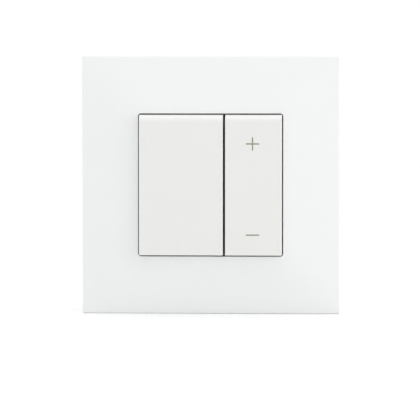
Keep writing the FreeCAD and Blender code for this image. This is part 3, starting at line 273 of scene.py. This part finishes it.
MATERIALS = make_materials()
SLOTS = {s["node"]: s["material_slot"] for s in frame["record"]["subparts"]}
BODY_NODES = frame["record"]["behaviour"]["bodies"]
REBUILT = {"surround_frame", "wide_key", "narrow_key"}


# ---------------------------------------------------------------- mesh helpers
SAME_POINT = 0.0005 * MM
FRAME_SMOOTH, WIRE_SMOOTH = 50.0, 60.0


def new_piece(name, mesh, slot, body):
    """Links a finished mesh as a piece that rides on a body."""
    piece = bpy.data.objects.new(name, mesh)
    bpy.context.scene.collection.objects.link(piece)
    mesh.materials.clear()
    mesh.materials.append(MATERIALS[slot])
    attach(piece, body)
    return piece


def settle(piece):
    """Applies the piece's modifiers."""
    graph = bpy.context.evaluated_depsgraph_get()
    mesh = bpy.data.meshes.new_from_object(piece.evaluated_get(graph))
    piece.modifiers.clear()
    piece.data = mesh


def mesh_from(name, vertices, faces):
    """A mesh from points and faces."""
    mesh = bpy.data.meshes.new(name)
    mesh.from_pydata(vertices, [], faces)
    mesh.update()
    return mesh


def merge_doubles(mesh):
    """Merges points that lie in the same place."""
    work = bmesh.new()
    work.from_mesh(mesh)
    bmesh.ops.remove_doubles(work, verts=work.verts, dist=SAME_POINT)
    work.to_mesh(mesh)
    work.free()


def smooth_by_angle(mesh, degrees=40.0):
    """Smooth shading, except across edges sharper than the angle."""
    work = bmesh.new()
    work.from_mesh(mesh)
    limit = math.radians(degrees)
    for face in work.faces:
        face.smooth = True
    for edge in work.edges:
        edge.smooth = len(edge.link_faces) != 2 or edge.calc_face_angle(0) < limit
    work.to_mesh(mesh)
    work.free()


def add_weighted_normals(piece):
    """Keeps flat faces looking flat next to rounded edges."""
    weighted = piece.modifiers.new("weighted_normals", "WEIGHTED_NORMAL")
    weighted.keep_sharp = True
    weighted.weight = 100


# ---------------------------------------------------------------- surround frame
def contour(half_x, half_z, radius, side_steps, corner_steps):
    """Points of a rounded rectangle, anticlockwise from the lower right, always the same number."""
    points = []
    inner_x, inner_z = half_x - radius, half_z - radius
    for quarter in range(4):
        centre = ((1, -1), (1, 1), (-1, 1), (-1, -1))[quarter]
        cx, cz = centre[0] * inner_x, centre[1] * inner_z
        for i in range(corner_steps + 1):
            angle = math.radians(90) * (quarter - 1 + i / corner_steps)
            points.append((cx + radius * math.cos(angle), cz + radius * math.sin(angle)))
        following = ((1, 1), (-1, 1), (-1, -1), (1, -1))[quarter]
        angle = math.radians(90) * quarter
        end = (following[0] * inner_x + radius * math.cos(angle),
               following[1] * inner_z + radius * math.sin(angle))
        start = points[-1]
        for i in range(1, side_steps):
            share = i / side_steps
            points.append((start[0] + (end[0] - start[0]) * share, start[1] + (end[1] - start[1]) * share))
    return points


def pillow(x, z):
    """How far the frame's face stands off the wall."""
    reach = ((abs(x) / HALF) ** PILLOW_POWER + (abs(z) / HALF) ** PILLOW_POWER) ** (1 / PILLOW_POWER)
    return RIM + (CROWN - RIM) * (1 - reach) / (1 - OPEN_X / HALF)


def ring_mesh(name, rings):
    """A closed tube of rings: each ring is a list of points, and the last ring joins the first."""
    count = len(rings[0])
    vertices = [point for ring in rings for point in ring]
    faces = []
    for r in range(len(rings)):
        here, there = r * count, (r + 1) % len(rings) * count
        for i in range(count):
            j = (i + 1) % count
            faces.append((here + i, there + i, there + j, here + j))
    return mesh_from(name, vertices, faces)


def frame_rings():
    """The rings of the frame's section: opening's lip, face, outer edge, hollow back, collar and opening."""
    side_steps, corner_steps, face_steps, round_steps = 40, 6, 22, 5
    wall, collar_wall, edge, lip = 2.0 * MM, 1.4 * MM, 0.35 * MM, 0.1 * MM
    collar_back, collar_corner = -3.6 * MM, 2.0 * MM
    corner_in, corner_out = 0.9 * MM, 0.5 * MM

    def ring(half_x, half_z, radius, depth):
        points = contour(half_x, half_z, radius, side_steps, corner_steps)
        return [(x, depth(x, z), z) for x, z in points]

    def between(share):
        half_x = OPEN_X + (HALF - OPEN_X) * share
        half_z = OPEN_Z + (HALF - OPEN_Z) * share
        return half_x, half_z, corner_in + (corner_out - corner_in) * share

    rings = []
    for i in range(round_steps):
        angle = math.radians(90) * i / round_steps
        back, out = lip * (1 - math.sin(angle)), lip * (1 - math.cos(angle))
        rings.append(ring(OPEN_X + out, OPEN_Z + out, corner_in + out,
                          lambda x, z, back=back: back - pillow(x, z)))
    first, last = lip / (HALF - OPEN_X), 1 - edge / (HALF - OPEN_X)
    for i in range(face_steps + 1):
        share = first + (last - first) * i / face_steps
        rings.append(ring(*between(share), lambda x, z: -pillow(x, z)))
    for i in range(1, round_steps + 1):
        angle = math.radians(90) * i / round_steps
        inset, back = edge * (1 - math.sin(angle)), edge * (1 - math.cos(angle))
        rings.append(ring(HALF - inset, HALF - inset, corner_out - inset,
                          lambda x, z, back=back: back - pillow(x, z)))
    rim_edge = 0.2 * MM
    rings.append(ring(HALF, HALF, corner_out, lambda x, z: -rim_edge))
    rings.append(ring(HALF - rim_edge, HALF - rim_edge, corner_out, lambda x, z: 0.0))
    inside = HALF - wall
    rings.append(ring(inside + rim_edge, inside + rim_edge, corner_out, lambda x, z: 0.0))
    rings.append(ring(inside, inside, corner_out, lambda x, z: -rim_edge))
    hollow_steps = 10
    collar_x, collar_z = OPEN_X + collar_wall, OPEN_Z + collar_wall
    for i in range(hollow_steps + 1):
        share = i / hollow_steps
        half_x = inside + (collar_x - inside) * share
        half_z = inside + (collar_z - inside) * share
        rings.append(ring(half_x, half_z, corner_out + (collar_corner - corner_out) * share,
                          lambda x, z: wall - pillow(x, z)))
    rings.append(ring(collar_x, collar_z, collar_corner, lambda x, z: collar_back))
    rings.append(ring(OPEN_X, OPEN_Z, corner_in, lambda x, z: collar_back))
    return rings


def bar(work, low, high):
    """Adds a box between two corners to a bmesh."""
    made = bmesh.ops.create_cube(work, size=1.0)
    for vertex in made["verts"]:
        for axis in range(3):
            vertex.co[axis] = low[axis] if vertex.co[axis] < 0 else high[axis]


DETAIL_EDGE, LEG_EDGE = 0.12 * MM, 0.1 * MM


def frame_details():
    """The ribs and the barbed hooks on the back of the frame."""
    work = bmesh.new()
    rib_place, rib_half, rib_front, rib_back = 12.0 * MM, 0.5 * MM, -5.6 * MM, -3.0 * MM
    rib_inner, rib_outer = OPEN_Z + 1.0 * MM, HALF - 1.6 * MM
    hook_place, hook_half, hook_reach, hook_thick = 17.0 * MM, 1.3 * MM, 35.7 * MM, 1.2 * MM
    hook_front, hook_back = -5.3 * MM, -1.6 * MM
    nose_length, nose_front, nose_back = 1.0 * MM, -3.1 * MM, -2.5 * MM
    for side in (-1, 1):
        for end in (-1, 1):
            along = sorted((end * rib_inner, end * rib_outer))
            across = (rib_place * side - rib_half, rib_place * side + rib_half)
            bar(work, (across[0], rib_front, along[0]), (across[1], rib_back, along[1]))
            bar(work, (along[0], rib_front, across[0]), (along[1], rib_back, across[1]))
            span = (hook_place * end - hook_half, hook_place * end + hook_half)
            beam = sorted((side * hook_reach, side * (hook_reach + hook_thick)))
            bar(work, (beam[0], hook_front, span[0]), (beam[1], hook_back, span[1]))
            nose = sorted((side * (hook_reach - nose_length), side * hook_reach))
            bar(work, (nose[0], nose_front, span[0]), (nose[1], nose_back, span[1]))
    mesh = bpy.data.meshes.new("frame_ribs_and_hooks")
    work.to_mesh(mesh)
    work.free()
    return mesh


def make_frame():
    """The frame's shell, which replaces the CAD frame, and its ribs and hooks."""
    shell = new_piece("surround_frame_shell", ring_mesh("surround_frame_shell", frame_rings()),
                      "frame_white", "mechanism")
    smooth_by_angle(shell.data, FRAME_SMOOTH)
    add_weighted_normals(shell)
    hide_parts("surround_frame")
    details = new_piece("surround_frame_ribs_and_hooks", frame_details(), "frame_white", "mechanism")
    soften(details, DETAIL_EDGE)


def soften(piece, width):
    """Rounds the piece's sharp edges and shades it smoothly."""
    rounding = piece.modifiers.new("edge_rounding", "BEVEL")
    rounding.width = width
    rounding.segments = 2
    rounding.limit_method = "ANGLE"
    rounding.angle_limit = math.radians(32)
    settle(piece)
    smooth_by_angle(piece.data)
    add_weighted_normals(piece)


# ---------------------------------------------------------------- keys
KEY_WALL = 1.5 * MM
KEY_ROLL = 2.2 * MM
KEY_EDGE = 0.2 * MM


def arc(y, z, radius, start, end, steps):
    """Points of an arc in the plane of y and z, with angles in degrees from the y axis."""
    points = []
    for i in range(steps + 1):
        angle = math.radians(start + (end - start) * i / steps)
        points.append((y + radius * math.cos(angle), z + radius * math.sin(angle)))
    return points


def key_profile(low, high):
    """The key's side view as (y, z) points, from its lower back edge over the face to its upper one."""
    edge_steps, roll_steps = 8, 24
    points = [(high.y, low.z)]
    points += arc(KEY_FACE + KEY_EDGE, low.z + KEY_EDGE, KEY_EDGE, 270, 180, edge_steps)
    points += arc(KEY_FACE + KEY_ROLL, high.z - KEY_ROLL, KEY_ROLL, 180, 90, roll_steps)
    points.append((high.y, high.z))
    return points


def key_mesh(name, low, high):
    """A hollow key, open at its back, whose side edges carry a bevel weight."""
    profile = key_profile(low, high)
    count = len(profile)
    vertices = [(x, y, z) for x in (low.x, high.x) for y, z in profile]
    faces = [tuple(range(count)), tuple(reversed(range(count, 2 * count)))]
    for i in range(count - 1):
        faces.append((i, i + count, i + count + 1, i + 1))
    inner_low = Vector((low.x + KEY_WALL, 0, low.z + KEY_WALL))
    inner_high = Vector((high.x - KEY_WALL, 0, high.z - KEY_WALL))
    rim, floor = len(vertices), len(vertices) + 4
    corners = [(inner_low.x, inner_low.z), (inner_high.x, inner_low.z),
               (inner_high.x, inner_high.z), (inner_low.x, inner_high.z)]
    vertices += [(x, high.y, z) for x, z in corners]
    vertices += [(x, KEY_FACE + KEY_WALL, z) for x, z in corners]
    outer = [0, count, 2 * count - 1, count - 1]
    for i in range(4):
        j = (i + 1) % 4
        faces.append((outer[i], rim + i, rim + j, outer[j]))
        faces.append((rim + i, floor + i, floor + j, rim + j))
    faces.append((floor, floor + 1, floor + 2, floor + 3))
    mesh = mesh_from(name, vertices, faces)
    work = bmesh.new()
    work.from_mesh(mesh)
    bmesh.ops.recalc_face_normals(work, faces=work.faces)
    weights = work.edges.layers.float.new("bevel_weight_edge")
    sides = set(range(2 * count))
    sharp, full_round, inner_round = math.radians(60), 1.0, 0.4
    for edge in work.edges:
        outside = all(v.index in sides for v in edge.verts)
        if edge.calc_face_angle(0) > sharp:
            edge[weights] = full_round if outside else inner_round
    work.to_mesh(mesh)
    work.free()
    return mesh


def key_legs(work, middle):
    """The two barbed legs that clip a key to its rocker."""
    leg_place, half_width, half_thick, overlap = 5.0 * MM, 1.5 * MM, 0.6 * MM, 0.2 * MM
    leg_back, barb_reach, barb_front, barb_back = -6.45 * MM, 1.6 * MM, -7.40 * MM, -6.65 * MM
    for sign in (-1, 1):
        z = leg_place * sign
        bar(work, (middle - half_width, KEY_FACE + KEY_WALL - overlap, z - half_thick),
            (middle + half_width, leg_back, z + half_thick))
        barb = sorted((z - half_thick * sign, z + barb_reach * sign))
        bar(work, (middle - half_width, barb_front, barb[0]), (middle + half_width, barb_back, barb[1]))


def make_key(name, node, body, low, high, recesses=()):
    """A key's cap, with recesses for its legends, and its legs."""
    piece = new_piece(name, key_mesh(name, low, high), "key_white", body)
    rounding = piece.modifiers.new("edge_rounding", "BEVEL")
    rounding.width = KEY_EDGE
    rounding.segments = 6
    rounding.limit_method = "WEIGHT"
    settle(piece)
    for outline in recesses:
        cut(piece, prism("recess", outline, KEY_FACE - RECESS, KEY_FACE + RECESS))
    merge_doubles(piece.data)
    smooth_by_angle(piece.data)
    add_weighted_normals(piece)
    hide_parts(node)
    work = bmesh.new()
    key_legs(work, (low.x + high.x) / 2)
    mesh = bpy.data.meshes.new(name + "_legs")
    work.to_mesh(mesh)
    work.free()
    soften(new_piece(name + "_legs", mesh, "key_white", body), LEG_EDGE)
    return piece


RECESS = 0.15 * MM
LEGEND_SHIFT = -0.25 * MM
LEGEND_X = (NARROW_LOW.x + NARROW_HIGH.x) / 2 + LEGEND_SHIFT
PLUS_Z, MINUS_Z = 12.8 * MM, -15.4 * MM
HALF_LENGTH, HALF_STROKE = 2.05 * MM, 0.21 * MM


def minus_outline(z, shrink=0.0):
    """The minus as (x, z) points, anticlockwise, smaller by shrink all round."""
    long, thin = HALF_LENGTH - shrink, HALF_STROKE - shrink
    corners = ((-long, -thin), (long, -thin), (long, thin), (-long, thin))
    return [(LEGEND_X + x, z + up) for x, up in corners]


def plus_outline(z, shrink=0.0):
    """The plus as (x, z) points, anticlockwise, smaller by shrink all round."""
    long, thin = HALF_LENGTH - shrink, HALF_STROKE - shrink
    arm = ((thin, -thin), (long, -thin), (long, thin), (thin, thin))
    points = []
    for turn in range(4):
        for x, up in arm[1:]:
            for _ in range(turn):
                x, up = -up, x
            points.append((LEGEND_X + x, z + up))
    return points


def prism(name, outline, front, back):
    """A closed prism: an outline of (x, z) points between two depths."""
    count = len(outline)
    vertices = [(x, y, z) for y in (front, back) for x, z in outline]
    faces = [tuple(range(count)), tuple(reversed(range(count, 2 * count)))]
    for i in range(count):
        j = (i + 1) % count
        faces.append((i, i + count, j + count, j))
    return mesh_from(name, vertices, faces)


def cut(piece, tool_mesh):
    """Cuts a closed mesh out of the piece."""
    tool = bpy.data.objects.new("cutter", tool_mesh)
    bpy.context.scene.collection.objects.link(tool)
    difference = piece.modifiers.new("recess", "BOOLEAN")
    difference.operation = "DIFFERENCE"
    difference.solver = "EXACT"
    difference.object = tool
    bpy.context.view_layer.update()
    settle(piece)
    bpy.data.objects.remove(tool)


def make_legends():
    """The plus and the minus: ink that fills each recess almost to the key's face."""
    clear, below, ink_edge = 0.01 * MM, 0.02 * MM, 0.03 * MM
    outlines = {"plus_legend": plus_outline(PLUS_Z, clear), "minus_legend": minus_outline(MINUS_Z, clear)}
    for name, outline in outlines.items():
        ink = prism(name, outline, KEY_FACE + below, KEY_FACE + RECESS)
        soften(new_piece(name, ink, "legend_grey", "dim_key"), ink_edge)


make_frame()
make_key("wide_key_cap", "wide_key", "on_off_key", WIDE_LOW, WIDE_HIGH)
make_key("narrow_key_cap", "narrow_key", "dim_key", NARROW_LOW, NARROW_HIGH,
         recesses=(plus_outline(PLUS_Z), minus_outline(MINUS_Z)))
make_legends()


# ---------------------------------------------------------------- the other parts, on their CAD shape
BODY_OF = {node: owner for owner, nodes in BODY_NODES.items() for node in nodes}
EDGE, SMALL_EDGE = 0.12 * MM, 0.05 * MM
SMALL = {"on_switch_plunger", "off_switch_plunger", "plus_switch_plunger", "minus_switch_plunger",
         "control_chips", "board_header", "fuse_tube", "fuse_caps", "transistors"}
SPRING_JOINTS = {"wide_spring_upper": "on_off_key_rock", "wide_spring_lower": "on_off_key_rock",
                 "narrow_spring_upper": "dim_key_rock", "narrow_spring_lower": "dim_key_rock"}


def merged_copy(thing, name):
    """The CAD mesh with its doubled points and flat triangles merged."""
    same_plane = math.radians(0.5)
    work = bmesh.new()
    work.from_mesh(thing.data)
    bmesh.ops.remove_doubles(work, verts=work.verts, dist=SAME_POINT)
    bmesh.ops.dissolve_limit(work, angle_limit=same_plane, verts=work.verts, edges=work.edges)
    mesh = bpy.data.meshes.new(name)
    work.to_mesh(mesh)
    work.free()
    return mesh


def reach_of(piece):
    """The lowest and highest coordinates of a piece's mesh."""
    points = [vertex.co for vertex in piece.data.vertices]
    return ([min(point[axis] for point in points) for axis in range(3)],
            [max(point[axis] for point in points) for axis in range(3)])


def refine(node, thing):
    """A copy of a CAD node with rounded, softly shaded edges, which replaces it.
    Where the rounding would leave the node's own box, the edges stay sharp."""
    mesh = merged_copy(thing, node + "_finished")
    piece = new_piece(node + "_finished", mesh, SLOTS[node], BODY_OF[node])
    low, high = reach_of(piece)
    rounding = piece.modifiers.new("edge_rounding", "BEVEL")
    rounding.width = SMALL_EDGE if node in SMALL else EDGE
    rounding.segments = 2
    rounding.use_clamp_overlap = False
    rounding.limit_method = "ANGLE"
    rounding.angle_limit = math.radians(40)
    graph = bpy.context.evaluated_depsgraph_get()
    rounded = bpy.data.meshes.new_from_object(piece.evaluated_get(graph))
    piece.modifiers.clear()
    piece.data = rounded
    new_low, new_high = reach_of(piece)
    slack = 0.002 * MM
    if any(new_low[axis] < low[axis] - slack or new_high[axis] > high[axis] + slack for axis in range(3)):
        piece.data = mesh
    smooth_by_angle(piece.data)
    add_weighted_normals(piece)
    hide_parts(node)


def make_spring(node, thing):
    """A smoothly shaded copy of a spring, with a mesh of its own, which replaces the CAD spring."""
    piece = new_piece(node + "_coil", merged_copy(thing, node + "_coil"), SLOTS[node], BODY_OF[node])
    smooth_by_angle(piece.data, WIRE_SMOOTH)
    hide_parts(node)
    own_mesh(piece)


for node, thing in frame["nodes"].items():
    thing.data.materials.clear()
    thing.data.materials.append(MATERIALS[SLOTS[node]])
    if node in SPRING_JOINTS:
        make_spring(node, thing)
    elif node not in REBUILT:
        refine(node, thing)


# ---------------------------------------------------------------- floor, light and camera
def sweep_profile(floor_level, reach, height, radius):
    """The stage's side view as (y, z): a floor that curves up into a backdrop."""
    steps = 12
    points = [(-reach, floor_level), (reach - radius, floor_level)]
    points += arc(reach - radius, floor_level + radius, radius, 270, 360, steps)
    points.append((reach, height))
    return points


def floor_white():
    """The glossy white tabletop."""
    made, _, shader = material("floor_white")
    shader.inputs["Base Color"].default_value = (0.90, 0.90, 0.90, 1)
    shader.inputs["Roughness"].default_value = 0.22
    shader.inputs["IOR"].default_value = 1.6
    shader.inputs["Emission Color"].default_value = (1.0, 1.0, 1.0, 1)
    shader.inputs["Emission Strength"].default_value = 0.06
    return made


def backdrop_white():
    """The lit backdrop."""
    made, _, shader = material("backdrop_white")
    shader.inputs["Base Color"].default_value = (0.80, 0.80, 0.80, 1)
    shader.inputs["Roughness"].default_value = 0.9
    shader.inputs["Emission Color"].default_value = (1.0, 1.0, 1.0, 1)
    shader.inputs["Emission Strength"].default_value = 0.24
    return made


def make_stage():
    """A white studio sweep that the frame stands on."""
    clearance = 0.02 * MM
    level = FRAME_LOW.z - clearance
    half_width, reach, height, radius = 3.0, 2.0, 3.0, 0.6
    profile = sweep_profile(level, reach, height, radius)
    vertices = [(x, y, z) for y, z in profile for x in (-half_width, half_width)]
    faces = [(2 * i, 2 * i + 1, 2 * i + 3, 2 * i + 2) for i in range(len(profile) - 1)]
    stage = bpy.data.objects.new("studio_sweep", mesh_from("studio_sweep", vertices, faces))
    bpy.context.scene.collection.objects.link(stage)
    stage.data.materials.append(floor_white())
    stage.data.materials.append(backdrop_white())
    floor_slot, backdrop_slot = 0, 1
    for polygon in stage.data.polygons:
        polygon.use_smooth = True
        polygon.material_index = floor_slot if polygon.index == 0 else backdrop_slot


def area_light(name, place, size, radiance):
    """A white softbox of a given radiance, turned to the middle of the object."""
    data = bpy.data.lights.new(name, "AREA")
    data.shape = "RECTANGLE"
    data.size, data.size_y = size
    data.energy = radiance * math.pi * size[0] * size[1]
    lamp = bpy.data.objects.new(name, data)
    bpy.context.scene.collection.objects.link(lamp)
    lamp.location = place
    lamp.rotation_euler = (-Vector(place)).to_track_quat("-Z", "Y").to_euler()


def make_light():
    """An even white room, two softboxes on the right and one overhead."""
    world = bpy.data.worlds.new("studio")
    bpy.context.scene.world = world
    world.use_nodes = True
    background = world.node_tree.nodes["Background"]
    background.inputs["Color"].default_value = (1.0, 1.0, 1.0, 1)
    background.inputs["Strength"].default_value = 0.835
    area_light("softbox_right", (1.1, -0.45, 0.5), (0.8, 0.8), 1.54)
    area_light("softbox_low_right", (1.2, -0.5, 0.12), (0.8, 0.26), 1.11)
    area_light("softbox_overhead", (0.0, -0.1, 1.3), (1.6, 1.2), 1.2)


def make_camera():
    """A long lens, a little to the right of and above the plate's normal."""
    azimuth, elevation, distance = math.radians(3.0), math.radians(2.6), 1.08
    target = Vector((-0.18 * MM, -8.0 * MM, -7.75 * MM))
    away = Vector((math.sin(azimuth) * math.cos(elevation), -math.cos(azimuth) * math.cos(elevation),
                   math.sin(elevation)))
    data = bpy.data.cameras.new("camera")
    data.sensor_width = 36.0
    data.lens = 298.8
    data.clip_start = 0.01
    camera = bpy.data.objects.new("camera", data)
    bpy.context.scene.collection.objects.link(camera)
    camera.location = target + away * distance
    camera.rotation_euler = (-away).to_track_quat("-Z", "Y").to_euler()
    bpy.context.scene.camera = camera


make_stage()
make_light()
make_camera()
bpy.context.scene.view_settings.view_transform = "Standard"
